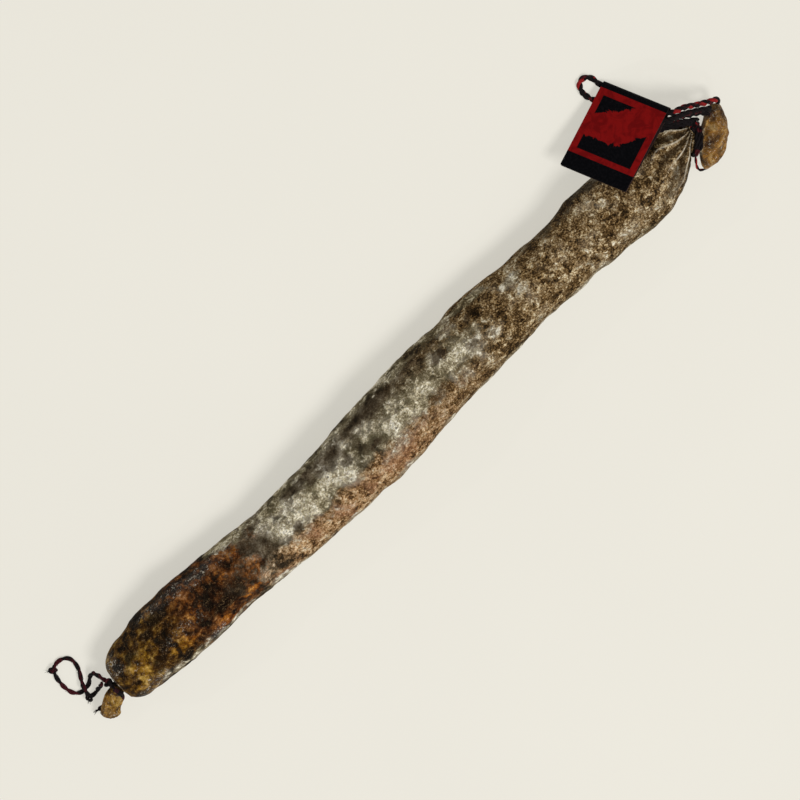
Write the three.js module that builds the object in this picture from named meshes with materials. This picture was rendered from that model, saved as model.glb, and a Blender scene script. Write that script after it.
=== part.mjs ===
// A cured sausage lying on its side: casing tied off at both ends, a hanging loop on each tie,
// and a folded card tag on the upper loop.
// Millimetres, +Z up. +X runs towards the end that carries the tag, and +Y is the tag's side.
import * as THREE from 'three';

// Middle of the footprint of the sausage and its ties, in the layout that the lists below use.
const FOOTPRINT_MIDDLE = new THREE.Vector3(-7.15, -1.13, 0);

// Sausage: the side faces round a section, and the rings from one body station to the next.
const SECTION_SIDES = 28;
const RINGS_PER_STATION = 2;
// The underside has settled flat, so a section's middle is a little lower than its radius.
const SETTLED_HEIGHT = 0.96;

// Body stations: x, y, radius.
const BODY = [
  [-263, -1.6, 21.4],
  [-247, -0.9, 23.3],
  [-214, -0.2, 25.2],
  [-181, -1.7, 23.9],
  [-156, -3.6, 23.6],
  [-132, -5.5, 24.0],
  [-107, -5.1, 25.0],
  [-82, -5.1, 26.0],
  [-49, -2.9, 27.5],
  [-25, -1.6, 28.3],
  [0, 0.0, 27.6],
  [25, 1.4, 26.8],
  [49, 2.0, 26.7],
  [74, 2.9, 25.8],
  [99, 2.6, 24.5],
  [123, 1.4, 23.9],
  [148, 0.8, 24.0],
  [173, 2.1, 26.6],
  [195, 1.0, 26.9],
  [212, 0.4, 27.0],
  [230, 0.8, 24.7],
];

// Where the casing is gathered for each tie.
const LOWER_NECK = { x: -286.3, y: -4.0, z: 21, halfWidth: 4, halfHeight: 4, heading: 0 };
const UPPER_NECK = { x: 262.8, y: -5.5, z: 20, halfWidth: 8.5, halfHeight: 5.5, heading: -45 };
const NECK_HALF_LENGTH = 3.3;

// Rings of the lower end, from the tip of the gathered casing to the body:
// x, y, z, half width, half height, heading in degrees.
const LOWER_TUFT = [
  [-302.4, -20.2, 9.2, 0, 0, 46],
  [-301.5, -19.0, 10.0, 5.0, 2.2, 46],
  [-299.2, -16.4, 11.8, 6.9, 3.8, 46],
  [-295.6, -12.4, 14.8, 6.6, 4.3, 46],
  [-291.9, -6.6, 18.8, 4.8, 4.0, 22],
];
const LOWER_SHOULDER = [
  [-282.4, -3.7, 21.0, 7.0, 7.0, 0],
  [-281.4, -3.1, 21.2, 11.2, 11.2, 0],
  [-279.4, -2.4, 21.4, 15.0, 15.2, 0],
  [-276.0, -2.1, 21.4, 17.8, 18.0, 0],
  [-271.0, -2.0, 21.2, 19.7, 19.7, 0],
];

// Rings of the upper end, from the body to the tip of the gathered casing.
const UPPER_SHOULDER = [
  [240.0, 1.4, 22.3, 22.4, 22.0, -4],
  [248.5, 2.0, 21.6, 20.2, 18.6, -12],
  [253.5, 1.2, 21.2, 17.6, 14.8, -19],
  [257.0, 0.0, 20.8, 14.4, 11.0, -28],
  [259.2, -1.7, 20.3, 10.8, 7.6, -40],
];
const UPPER_TUFT = [
  [266.3, -8.5, 19.6, 12.0, 5.0, -45],
  [268.6, -9.9, 18.8, 17.8, 6.2, -45],
  [272.4, -11.8, 17.2, 20.4, 7.0, -45],
  [276.8, -14.6, 15.2, 19.6, 6.8, -45],
  [279.9, -18.2, 13.0, 15.4, 5.6, -45],
  [281.8, -20.8, 11.6, 8.8, 3.8, -45],
  [282.8, -22.0, 10.8, 0, 0, -45],
];

// Ties: turns of cord wound side by side round a neck, with this gap between cord and casing.
const TIE_GAP = 0.3;
const TIE_TURNS = 2;
const TIE_SEGMENTS = 28;
const ARC_STEPS = 4;
const LOWER_CORD_DIAMETER = 2.8;
const UPPER_CORD_DIAMETER = 3.0;

// Loops: cord diameters, tube sides, and the step along the tube in cord diameters.
const UPPER_LOOP_DIAMETER = 3.8;
const TUBE_SIDES = 8;
const TUBE_STEP = 1.3;

const LOWER_LOOP_ROUTE = [
  [-286.6, 5.0, 20.5],
  [-288.4, 9.0, 13.5],
  [-290.6, 10.6, 7.0],
  [-294.3, 8.7, 2.8],
  [-298.0, 5.4, 1.7],
  [-302.6, 4.1, 1.7],
  [-307.0, 5.0, 1.7],
  [-310.0, 8.0, 1.7],
  [-311.5, 12.5, 1.7],
  [-311.6, 19.0, 1.7],
  [-310.6, 25.4, 1.7],
  [-308.2, 30.4, 1.7],
  [-304.0, 32.4, 1.7],
  [-298.8, 31.6, 1.7],
  [-295.3, 28.4, 1.7],
  [-294.7, 23.6, 1.7],
  [-296.2, 17.6, 1.7],
  [-299.3, 12.4, 2.8],
  [-301.6, 8.2, 4.8],
  [-302.9, 4.3, 5.2],
  [-303.8, 0.6, 3.9],
  [-302.8, -2.4, 2.2],
  [-299.8, -2.8, 2.0],
  [-296.2, -1.0, 5.0],
  [-293.2, 1.2, 10.6],
  [-290.0, 4.4, 17.2],
];

const UPPER_LOOP_ROUTE = [
  [292.4, 1.2, 13.0],
  [292.2, 5.0, 17.6],
  [288.5, 8.0, 21.5],
  [279.5, 15.0, 27.0],
  [270.5, 22.6, 33.6],
  [265.5, 25.6, 37.0],
  [262.0, 27.2, 38.6],
  [259.7, 29.6, 37.3],
  [257.4, 33.9, 33.2],
  [250.7, 46.8, 20.7],
  [243.4, 60.9, 7.0],
  [241.6, 64.3, 3.8],
  [240.4, 67.6, 2.4],
  [239.6, 72.4, 2.1],
  [236.6, 76.6, 2.1],
  [232.0, 77.2, 2.1],
  [228.8, 73.4, 2.1],
  [228.2, 68.4, 2.6],
  [229.3, 64.2, 4.6],
  [230.7, 61.3, 6.6],
  [235.0, 55.2, 12.5],
  [242.4, 44.5, 22.8],
  [249.9, 33.6, 33.6],
  [253.2, 28.7, 38.4],
  [256.2, 25.7, 40.1],
  [260.3, 23.6, 38.6],
  [266.0, 20.3, 34.8],
  [274.0, 14.0, 29.5],
  [281.0, 8.3, 24.8],
  [285.0, 4.6, 22.4],
];

// Tag: a card folded once over the upper loop and leaning on the sausage.
const TAG_SPINE_LOW = new THREE.Vector3(244.7, 67.1, 5.0);
const TAG_SPINE_HIGH = new THREE.Vector3(262.8, 32.2, 38.8);
const TAG_FOOT_LOW = new THREE.Vector3(182.3, 49.9, 20.7);
const CARD_THICKNESS = 0.6;
const FOLD_RADIUS = 2.8;
// The back leaf, from the fold to its edge: distance from the spine, depth below the front.
const BACK_LEAF = [
  [18, 5.4],
  [42, 3.2],
  [66.6, 1.5],
];

const CASING = { color: 0x6f5a42, roughness: 0.7, metalness: 0 };
const BLACK_CORD = { color: 0x1c1114, roughness: 0.85, metalness: 0 };
const RED_CORD = { color: 0x701820, roughness: 0.8, metalness: 0 };
const CARD = { color: 0x7a1216, roughness: 0.45, metalness: 0 };

const part = new THREE.Group();
const layout = new THREE.Group();
layout.position.copy(FOOTPRINT_MIDDLE).negate();
part.add(layout);

function addMesh(name, geometry, look) {
  const mesh = new THREE.Mesh(geometry, new THREE.MeshStandardMaterial(look));
  mesh.name = name;
  layout.add(mesh);
  return mesh;
}

// Points of one section ring; a ring of no size is the single point that closes an end.
function sectionRing([x, y, z, halfWidth, halfHeight, heading]) {
  if (halfWidth === 0) {
    return [new THREE.Vector3(x, y, z)];
  }
  const turn = THREE.MathUtils.degToRad(heading);
  const side = new THREE.Vector3(-Math.sin(turn), Math.cos(turn), 0);
  const ring = [];
  for (let i = 0; i < SECTION_SIDES; i += 1) {
    const angle = (2 * Math.PI * i) / SECTION_SIDES;
    const point = new THREE.Vector3(x, y, z + halfHeight * Math.sin(angle));
    point.addScaledVector(side, halfWidth * Math.cos(angle));
    point.z = Math.max(point.z, 0);
    ring.push(point);
  }
  return ring;
}

// Closed skin over a row of rings whose first and last rings are single points.
function skinOver(rings) {
  const positions = [];
  const indices = [];
  const firsts = [];
  for (const ring of rings) {
    firsts.push(positions.length / 3);
    for (const point of ring) {
      positions.push(point.x, point.y, point.z);
    }
  }
  for (let r = 0; r + 1 < rings.length; r += 1) {
    for (let i = 0; i < SECTION_SIDES; i += 1) {
      const next = (i + 1) % SECTION_SIDES;
      if (rings[r].length === 1) {
        indices.push(firsts[r], firsts[r + 1] + next, firsts[r + 1] + i);
      } else if (rings[r + 1].length === 1) {
        indices.push(firsts[r] + i, firsts[r] + next, firsts[r + 1]);
      } else {
        indices.push(firsts[r] + i, firsts[r + 1] + next, firsts[r + 1] + i);
        indices.push(firsts[r] + i, firsts[r] + next, firsts[r + 1] + next);
      }
    }
  }
  const geometry = new THREE.BufferGeometry();
  geometry.setAttribute('position', new THREE.Float32BufferAttribute(positions, 3));
  geometry.setIndex(indices);
  return geometry;
}

// Body rings, eased between the stations.
function bodyRows() {
  const stations = BODY.map(([x, y, radius]) => new THREE.Vector3(x, y, radius));
  const curve = new THREE.CatmullRomCurve3(stations);
  curve.curveType = 'catmullrom';
  const count = (BODY.length - 1) * RINGS_PER_STATION;
  const rows = [];
  for (let i = 0; i <= count; i += 1) {
    const { x, y, z: radius } = curve.getPoint(i / count);
    rows.push([x, y, radius * SETTLED_HEIGHT, radius, radius, 0]);
  }
  return rows;
}

// The two ends of a straight neck, as ring rows.
function neckRows({ x, y, z, halfWidth, halfHeight, heading }) {
  const turn = THREE.MathUtils.degToRad(heading);
  const along = [-NECK_HALF_LENGTH, NECK_HALF_LENGTH];
  return along.map((step) => [
    x + step * Math.cos(turn),
    y + step * Math.sin(turn),
    z,
    halfWidth,
    halfHeight,
    heading,
  ]);
}

function sausage() {
  const rows = [
    ...LOWER_TUFT,
    ...neckRows(LOWER_NECK),
    ...LOWER_SHOULDER,
    ...bodyRows(),
    ...UPPER_SHOULDER,
    ...neckRows(UPPER_NECK),
    ...UPPER_TUFT,
  ];
  return skinOver(rows.map(sectionRing));
}

// Turns of cord side by side round a neck: a ring whose profile is one arc for each turn.
function tie(neck, cordDiameter) {
  const radius = cordDiameter / 2;
  const inner = 1 + TIE_GAP / neck.halfHeight;
  const width = cordDiameter * TIE_TURNS;
  const profile = [new THREE.Vector2(inner, -width / 2)];
  for (let turn = 0; turn < TIE_TURNS; turn += 1) {
    const middle = (turn + 0.5) * cordDiameter - width / 2;
    for (let i = 0; i <= ARC_STEPS; i += 1) {
      const angle = (Math.PI * i) / ARC_STEPS;
      const out = (radius + radius * Math.sin(angle)) / neck.halfHeight;
      profile.push(new THREE.Vector2(inner + out, middle - radius * Math.cos(angle)));
    }
  }
  profile.push(new THREE.Vector2(inner, width / 2));
  profile.push(profile[0].clone());
  const unique = profile.filter((p, i) => i === 0 || p.distanceTo(profile[i - 1]) > 1e-6);
  const geometry = new THREE.LatheGeometry(unique, TIE_SEGMENTS);
  geometry.scale(neck.halfWidth, 1, neck.halfHeight);
  geometry.rotateZ(-Math.PI / 2);
  return geometry;
}

// A round cord along a route, with flat ends.
function cord(route, diameter) {
  const curve = new THREE.CatmullRomCurve3(route.map((point) => new THREE.Vector3(...point)));
  const section = new THREE.Shape();
  for (let i = 0; i < TUBE_SIDES; i += 1) {
    const angle = (2 * Math.PI * i) / TUBE_SIDES;
    const x = (diameter / 2) * Math.cos(angle);
    const y = (diameter / 2) * Math.sin(angle);
    if (i === 0) {
      section.moveTo(x, y);
    } else {
      section.lineTo(x, y);
    }
  }
  section.closePath();
  const steps = Math.round(curve.getLength() / (TUBE_STEP * diameter));
  return new THREE.ExtrudeGeometry(section, { steps, extrudePath: curve });
}

// Folded card in its own plane: x runs away from the spine, y stands on the front leaf.
function foldedCard(width) {
  const inner = FOLD_RADIUS - CARD_THICKNESS;
  const [lastReach, lastDepth] = BACK_LEAF[BACK_LEAF.length - 1];
  const profile = new THREE.Shape();
  profile.moveTo(lastReach, 0);
  profile.lineTo(FOLD_RADIUS, 0);
  profile.absarc(FOLD_RADIUS, -FOLD_RADIUS, FOLD_RADIUS, Math.PI / 2, (3 * Math.PI) / 2, false);
  for (const [reach, depth] of BACK_LEAF) {
    profile.lineTo(reach, -depth);
  }
  profile.lineTo(lastReach, CARD_THICKNESS - lastDepth);
  for (const [reach, depth] of BACK_LEAF.slice(0, -1).reverse()) {
    profile.lineTo(reach, CARD_THICKNESS - depth);
  }
  profile.absarc(FOLD_RADIUS, -FOLD_RADIUS, inner, (3 * Math.PI) / 2, Math.PI / 2, true);
  profile.lineTo(lastReach, -CARD_THICKNESS);
  profile.closePath();
  return new THREE.ExtrudeGeometry(profile, {
    depth: width,
    steps: 1,
    bevelEnabled: false,
    curveSegments: 8,
  });
}

function placeOnNeck(mesh, neck) {
  mesh.position.set(neck.x, neck.y, neck.z);
  mesh.rotation.z = THREE.MathUtils.degToRad(neck.heading);
}

addMesh('sausage', sausage(), CASING);

placeOnNeck(addMesh('lower_tie', tie(LOWER_NECK, LOWER_CORD_DIAMETER), BLACK_CORD), LOWER_NECK);
placeOnNeck(addMesh('upper_tie', tie(UPPER_NECK, UPPER_CORD_DIAMETER), BLACK_CORD), UPPER_NECK);

addMesh('lower_loop', cord(LOWER_LOOP_ROUTE, LOWER_CORD_DIAMETER), BLACK_CORD);
addMesh('upper_loop', cord(UPPER_LOOP_ROUTE, UPPER_LOOP_DIAMETER), RED_CORD);

const across = TAG_SPINE_HIGH.clone().sub(TAG_SPINE_LOW);
const down = TAG_FOOT_LOW.clone().sub(TAG_SPINE_LOW).normalize();
const tag = addMesh('tag', foldedCard(across.length()), CARD);
across.normalize();
const outward = down.clone().cross(across).normalize();
const squareAcross = outward.clone().cross(down);
tag.quaternion.setFromRotationMatrix(
  new THREE.Matrix4().makeBasis(down, outward, squareAcross.clone().negate()),
);
tag.position.copy(TAG_SPINE_HIGH);

export default part;
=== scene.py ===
"""Looks for a cured sausage with its ties, cord loops and folded tag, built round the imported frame.

Lengths in the lists below are millimetres in the part's layout, where the frame's origin is at
FOOTPRINT_MIDDLE. Blender's objects are in metres.
"""

import math

import bpy
import numpy as np
from mathutils import Matrix, Vector


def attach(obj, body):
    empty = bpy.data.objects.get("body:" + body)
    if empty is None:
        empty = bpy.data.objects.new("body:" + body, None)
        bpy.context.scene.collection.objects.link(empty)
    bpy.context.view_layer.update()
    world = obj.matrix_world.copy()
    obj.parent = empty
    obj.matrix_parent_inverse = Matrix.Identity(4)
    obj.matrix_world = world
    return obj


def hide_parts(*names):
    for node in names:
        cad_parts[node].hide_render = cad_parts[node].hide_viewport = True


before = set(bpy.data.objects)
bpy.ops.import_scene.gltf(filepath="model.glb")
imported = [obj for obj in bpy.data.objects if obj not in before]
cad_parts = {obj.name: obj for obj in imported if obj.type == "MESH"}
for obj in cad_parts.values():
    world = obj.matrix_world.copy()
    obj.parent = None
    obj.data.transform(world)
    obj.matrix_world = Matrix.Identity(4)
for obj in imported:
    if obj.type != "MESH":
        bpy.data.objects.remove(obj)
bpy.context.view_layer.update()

MM = 0.001
FOOTPRINT_MIDDLE = np.array([-7.15, -1.13, 0.0])


def metres(points):
    """Layout millimetres to the frame's metres."""
    return (np.asarray(points, dtype=float) - FOOTPRINT_MIDDLE) * MM


# ---- camera, light and floor

CAMERA_TILT = math.radians(20)
CAMERA_TURN = math.radians(43.5)
CAMERA_AIM = (-7.45, 7.5, 25.0)
LENS_MM = 180
SENSOR_MM = 36
VIEW_WIDTH_MM = 548


def make_camera():
    across = Vector((0, math.cos(CAMERA_TILT), -math.sin(CAMERA_TILT)))
    along = Vector((1, 0, 0))
    right = along * math.cos(CAMERA_TURN) - across * math.sin(CAMERA_TURN)
    up = along * math.sin(CAMERA_TURN) + across * math.cos(CAMERA_TURN)
    back = right.cross(up)
    distance = VIEW_WIDTH_MM * LENS_MM / SENSOR_MM * MM
    spot = Vector(metres(CAMERA_AIM)) + back * distance
    data = bpy.data.cameras.new("camera")
    data.lens = LENS_MM
    data.sensor_width = SENSOR_MM
    data.clip_end = 20
    camera = bpy.data.objects.new("camera", data)
    camera.matrix_world = Matrix((right, up, back)).transposed().to_4x4()
    camera.location = spot
    bpy.context.collection.objects.link(camera)
    bpy.context.scene.camera = camera


def area_light(name, place, size, watts, colour):
    data = bpy.data.lights.new(name, "AREA")
    data.energy = watts
    data.color = colour
    data.size = size
    light = bpy.data.objects.new(name, data)
    light.location = place
    light.rotation_euler = (-Vector(place)).to_track_quat("-Z", "Y").to_euler()
    bpy.context.collection.objects.link(light)


def make_lights():
    area_light("key", (0.55, -1.45, 4.6), 1.5, 164, (1.0, 0.99, 0.965))
    area_light("glint_back", (-0.9, 1.5, 1.2), 0.05, 2.0, (1.0, 1.0, 1.0))
    area_light("glint_front", (-0.7, -1.4, 2.4), 0.06, 4.0, (1.0, 0.99, 0.97))
    world = bpy.data.worlds.new("world")
    bpy.context.scene.world = world
    world.use_nodes = True
    back = world.node_tree.nodes["Background"]
    back.inputs["Color"].default_value = (0.84, 0.83, 0.79, 1)
    back.inputs["Strength"].default_value = 0.44
    bpy.context.scene.view_settings.view_transform = "Standard"


# ---- node helpers


def srgb(red, green, blue):
    """An 8-bit screen colour as the linear colour that a node takes."""
    def linear(value):
        share = value / 255
        return share / 12.92 if share <= 0.04045 else ((share + 0.055) / 1.055) ** 2.4

    return (linear(red), linear(green), linear(blue), 1)


class Nodes:
    """Short calls that add nodes to one material and return the wanted socket."""

    def __init__(self, name):
        self.material = bpy.data.materials.new(name)
        self.material.use_nodes = True
        self.tree = self.material.node_tree
        self.shader = self.tree.nodes["Principled BSDF"]

    def link(self, socket, value):
        if isinstance(value, bpy.types.NodeSocket):
            self.tree.links.new(value, socket)
        else:
            socket.default_value = value

    def add(self, kind, **inputs):
        node = self.tree.nodes.new(kind)
        for name, value in inputs.items():
            self.link(node.inputs[name.replace("_", " ")], value)
        return node

    def place(self):
        return self.add("ShaderNodeTexCoord").outputs["Object"]

    def attribute(self, name):
        node = self.add("ShaderNodeAttribute")
        node.attribute_name = name
        return node.outputs["Fac"]

    def scaled(self, place, factors):
        node = self.add("ShaderNodeMapping", Vector=place)
        node.inputs["Scale"].default_value = factors
        return node.outputs["Vector"]

    def noise(self, place, size_mm, detail=3.0, roughness=0.55, distortion=0.0):
        node = self.add(
            "ShaderNodeTexNoise",
            Vector=place,
            Scale=1 / (size_mm * MM),
            Detail=detail,
            Roughness=roughness,
            Distortion=distortion,
        )
        return node.outputs["Fac"]

    def cells(self, place, size_mm):
        node = self.add("ShaderNodeTexVoronoi", Vector=place, Scale=1 / (size_mm * MM))
        return node.outputs["Distance"]

    def math(self, operation, first, second=0.0, third=0.0):
        node = self.tree.nodes.new("ShaderNodeMath")
        node.operation = operation
        for socket, value in zip(node.inputs, (first, second, third)):
            self.link(socket, value)
        return node.outputs[0]

    def times(self, first, second):
        return self.math("MULTIPLY", first, second)

    def ramp(self, value, low, high, start=0.0, end=1.0):
        """value eased from start to end as it goes from low to high."""
        node = self.tree.nodes.new("ShaderNodeMapRange")
        node.interpolation_type = "SMOOTHSTEP"
        for socket, given in zip(node.inputs, (value, low, high, start, end)):
            self.link(socket, given)
        return node.outputs["Result"]

    def tones(self, value, stops):
        """A colour that runs through stops, each (value, red, green, blue)."""
        node = self.add("ShaderNodeValToRGB", Fac=value)
        elements = node.color_ramp.elements
        while len(elements) < len(stops):
            elements.new(0.5)
        for element, (position, *colour) in zip(elements, stops):
            element.position = position
            element.color = srgb(*colour)
        return node.outputs["Color"]

    def mix(self, factor, first, second):
        node = self.tree.nodes.new("ShaderNodeMix")
        node.data_type = "RGBA"
        self.link(node.inputs["Factor"], factor)
        self.link(node.inputs["A"], first)
        self.link(node.inputs["B"], second)
        return node.outputs["Result"]

    def finish(self, colour, roughness, bump=None, bump_mm=0.2, strength=1.0):
        self.link(self.shader.inputs["Base Color"], colour)
        self.link(self.shader.inputs["Roughness"], roughness)
        if bump is not None:
            node = self.add("ShaderNodeBump", Height=bump, Strength=strength, Distance=bump_mm * MM)
            self.link(self.shader.inputs["Normal"], node.outputs["Normal"])
            self.link(self.shader.inputs["Coat Normal"], node.outputs["Normal"])
        return self.material


# ---- shape helpers


def lattice_noise(points, size, seed):
    """Smooth noise from -1 to 1 at points (n, 3), with features about size across."""
    count = 32
    lattice = np.random.default_rng(seed).uniform(-1, 1, (count, count, count))
    scaled = np.asarray(points) / size
    cell = np.floor(scaled).astype(int)
    part = scaled - cell
    part = part * part * (3 - 2 * part)
    total = np.zeros(len(scaled))
    for dx in (0, 1):
        for dy in (0, 1):
            for dz in (0, 1):
                corner = (cell + (dx, dy, dz)) % count
                weight = np.abs(1 - dx - part[:, 0]) * np.abs(1 - dy - part[:, 1])
                weight *= np.abs(1 - dz - part[:, 2])
                total += weight * lattice[corner[:, 0], corner[:, 1], corner[:, 2]]
    return total


def eased(knots, values, at):
    """Values at the places asked, by a cubic through the knots that never overshoots them."""
    knots = np.asarray(knots, dtype=float)
    values = np.asarray(values, dtype=float)
    step = np.diff(knots)
    slope = np.diff(values) / step
    tangent = np.zeros(len(knots))
    same = slope[:-1] * slope[1:] > 0
    weight_a = 2 * step[1:] + step[:-1]
    weight_b = step[1:] + 2 * step[:-1]
    with np.errstate(divide="ignore", invalid="ignore"):
        inner = (weight_a + weight_b) / (weight_a / slope[:-1] + weight_b / slope[1:])
    tangent[1:-1] = np.where(same, inner, 0)
    tangent[0] = slope[0]
    tangent[-1] = slope[-1]
    index = np.clip(np.searchsorted(knots, at, side="right") - 1, 0, len(step) - 1)
    width = step[index]
    share = (at - knots[index]) / width
    rest = 1 - share
    return (
        values[index] * (1 + 2 * share) * rest**2
        + tangent[index] * width * share * rest**2
        + values[index + 1] * share**2 * (3 - 2 * share)
        - tangent[index + 1] * width * share**2 * rest
    )


def travelled_along(points):
    """Distance along a path from its first point to each point."""
    return np.concatenate([[0], np.cumsum(np.linalg.norm(np.diff(points, axis=0), axis=1))])


def smooth_route(points, spacing):
    """Evenly spaced points on the centripetal Catmull-Rom curve through a route."""
    points = np.asarray(points, dtype=float)
    ends = np.vstack([2 * points[0] - points[1], points, 2 * points[-1] - points[-2]])
    share = np.linspace(0, 1, 24, endpoint=False)[:, None]
    fine = []
    for first in range(len(points) - 1):
        before, start, stop, after = ends[first:first + 4]
        legs = start - before, stop - start, after - stop
        gap_a, gap_b, gap_c = (math.sqrt(np.linalg.norm(leg)) for leg in legs)
        leave = (start - before) / gap_a - (stop - before) / (gap_a + gap_b) + (stop - start) / gap_b
        arrive = (stop - start) / gap_b - (after - start) / (gap_b + gap_c) + (after - stop) / gap_c
        leave = leave * gap_b
        arrive = arrive * gap_b
        square = share**2
        cube = share**3
        fine.append(
            start * (2 * cube - 3 * square + 1)
            + leave * (cube - 2 * square + share)
            + stop * (3 * square - 2 * cube)
            + arrive * (cube - square)
        )
    fine.append(points[-1:])
    return evenly_spaced(np.vstack(fine), spacing)


def evenly_spaced(points, spacing):
    travelled = travelled_along(points)
    count = max(2, int(round(travelled[-1] / spacing)) + 1)
    at = np.linspace(0, travelled[-1], count)
    return np.stack([np.interp(at, travelled, points[:, axis]) for axis in range(3)], axis=1)


def new_piece(name, vertices, faces, materials, face_materials=None):
    """A mesh object from layout millimetres."""
    mesh = bpy.data.meshes.new(name)
    mesh.from_pydata([tuple(v) for v in metres(vertices)], [], faces)
    for material in materials:
        mesh.materials.append(material)
    if face_materials is not None:
        mesh.polygons.foreach_set("material_index", face_materials)
    mesh.polygons.foreach_set("use_smooth", [True] * len(mesh.polygons))
    mesh.update()
    piece = bpy.data.objects.new(name, mesh)
    bpy.context.collection.objects.link(piece)
    return piece


# ---- sausage

SETTLED_HEIGHT = 0.96
SAUSAGE_SIDES = 150
SAUSAGE_RINGS = 640
CROWN_TURN = 70.0
SKIN_LEAST_HEIGHT = 0.02

# Folds round each neck, pleats that fan out from the upper knot, and folds along each gathered end.
LOWER_FOLDS = 15
UPPER_FOLDS = 12
FAN_PLEATS = 17
TUFT_FOLDS = 9
KNOT_X = 268.0
KNOT_Y = 4.0
LIP_FROM_NECK = 7.6
LIP_WIDTH = 1.7

# Stations along the sausage: x, y, z, half width, half height, heading in degrees. They keep within
# about 0.5 mm of the CAD model's, but for a lower neck that is shorter and a lower tuft about 2 mm longer.
LOWER_TUFT = [
    [-304.2, -21.8, 8.8, 0.4, 0.3, 46],
    [-303.2, -20.6, 9.6, 4.6, 2.4, 46],
    [-300.8, -17.8, 11.4, 6.6, 3.8, 46],
    [-297.4, -14.2, 13.8, 6.2, 4.2, 46],
    [-293.6, -10.4, 16.8, 6.4, 4.3, 44],
    [-290.2, -7.0, 19.2, 5.4, 4.2, 34],
]
LOWER_NECK = [
    [-287.6, -4.6, 20.6, 4.0, 4.0, 12],
    [-283.2, -4.0, 21.0, 4.0, 4.0, 0],
]
LOWER_SHOULDER = [
    [-282.4, -3.7, 21.0, 7.0, 7.0, 0],
    [-281.4, -3.1, 21.2, 11.2, 11.2, 0],
    [-279.4, -2.4, 21.4, 15.0, 15.2, 0],
    [-276.0, -2.1, 21.4, 17.8, 18.0, 0],
    [-271.0, -2.0, 21.2, 19.7, 19.7, 0],
]
# The body's stations are x, y, half width, because it is nearly round and rests on the surface.
BODY = [
    [-263, -1.6, 21.4], [-247, -0.9, 23.3], [-214, -0.2, 25.2], [-181, -1.7, 23.9], [-156, -3.6, 23.6],
    [-132, -5.5, 24.0], [-107, -5.1, 25.0], [-82, -5.1, 26.0], [-49, -2.9, 27.5], [-25, -1.6, 28.3],
    [0, 0.0, 27.6], [25, 1.4, 26.8], [49, 2.0, 26.7], [74, 2.9, 25.8], [99, 2.6, 24.5],
    [123, 1.4, 23.9], [148, 0.8, 24.0], [173, 2.1, 26.6], [195, 1.0, 26.9], [212, 0.4, 27.0],
    [230, 0.8, 24.7],
]
UPPER_SHOULDER = [
    [240.0, 1.4, 22.3, 22.4, 22.0, -4],
    [248.5, 2.0, 21.6, 20.2, 18.6, -12],
    [253.5, 1.2, 21.2, 17.6, 14.8, -19],
    [257.0, 0.0, 20.8, 14.4, 11.0, -28],
    [259.2, -1.7, 20.3, 10.8, 7.6, -40],
]
UPPER_NECK = [
    [260.5, -3.2, 20.0, 8.5, 5.5, -45],
    [265.1, -7.8, 20.0, 8.5, 5.5, -45],
]
UPPER_TUFT = [
    [266.3, -8.5, 19.6, 12.0, 5.0, -45],
    [268.6, -9.9, 18.8, 17.8, 6.2, -45],
    [272.4, -11.8, 17.2, 20.4, 7.0, -45],
    [276.8, -14.6, 15.2, 19.6, 6.8, -45],
    [279.9, -18.2, 13.0, 15.4, 5.6, -45],
    [281.8, -20.8, 11.6, 8.8, 3.8, -45],
    [282.8, -22.0, 10.8, 0.5, 0.3, -45],
]

# Patches on the casing: x, turn from the camera's crown towards -Y in degrees,
# half length along the body, half width in degrees, strength.
# The patches at x -228 and -200 on the -Y edge paint a pale grey sheen; the rest are mould.
MOULD_AND_SHEEN_PATCHES = [
    (-156, -70, 30, 26, 1.0), (-122, -50, 22, 34, 0.95), (-95, 6, 15, 15, 1.0),
    (-108, -20, 26, 24, 0.8), (-88, -10, 22, 22, 0.95), (-62, -4, 18, 12, 0.5), (-32, -8, 22, 16, 0.75),
    (0, 0, 24, 18, 1.0), (26, -2, 18, 14, 0.6), (8, -66, 22, 20, 0.85), (36, -64, 18, 20, 0.8),
    (70, -62, 22, 20, 0.85), (52, -38, 10, 12, 0.5), (104, -30, 14, 14, 0.55), (-228, 68, 26, 18, 0.7),
    (-200, 76, 24, 14, 0.6), (-120, 82, 80, 14, 0.55), (-30, 84, 70, 12, 0.5), (222, 74, 20, 14, 0.3),
    (190, -10, 20, 14, 0.25),
]
TAN_PATCHES = [
    (-100, 52, 36, 34, 0.8), (-70, 32, 26, 26, 0.9), (-35, 45, 34, 32, 1.0), (5, 45, 30, 30, 0.85),
    (24, 43, 18, 22, 0.8), (-140, 62, 22, 24, 0.8), (160, 35, 24, 22, 0.7), (120, 5, 30, 30, 0.3),
    (205, 40, 26, 30, 0.45), (60, 50, 30, 26, 0.5),
]
AMBER_PATCHES = [
    (-260, 12, 12, 20, 1.0), (-229, 33, 12, 16, 0.9), (-236, -50, 16, 14, 0.6), (-195, 57, 10, 14, 0.9),
    (-158, -26, 12, 16, 0.8), (-168, 42, 12, 10, 0.7), (-246, -8, 10, 14, 0.5), (-212, 4, 14, 18, 0.4),
    (-182, -14, 14, 12, 0.45), (-272, 40, 8, 20, 0.6), (170, 44, 16, 14, 0.5), (256, -16, 8, 20, 0.6),
]
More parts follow.
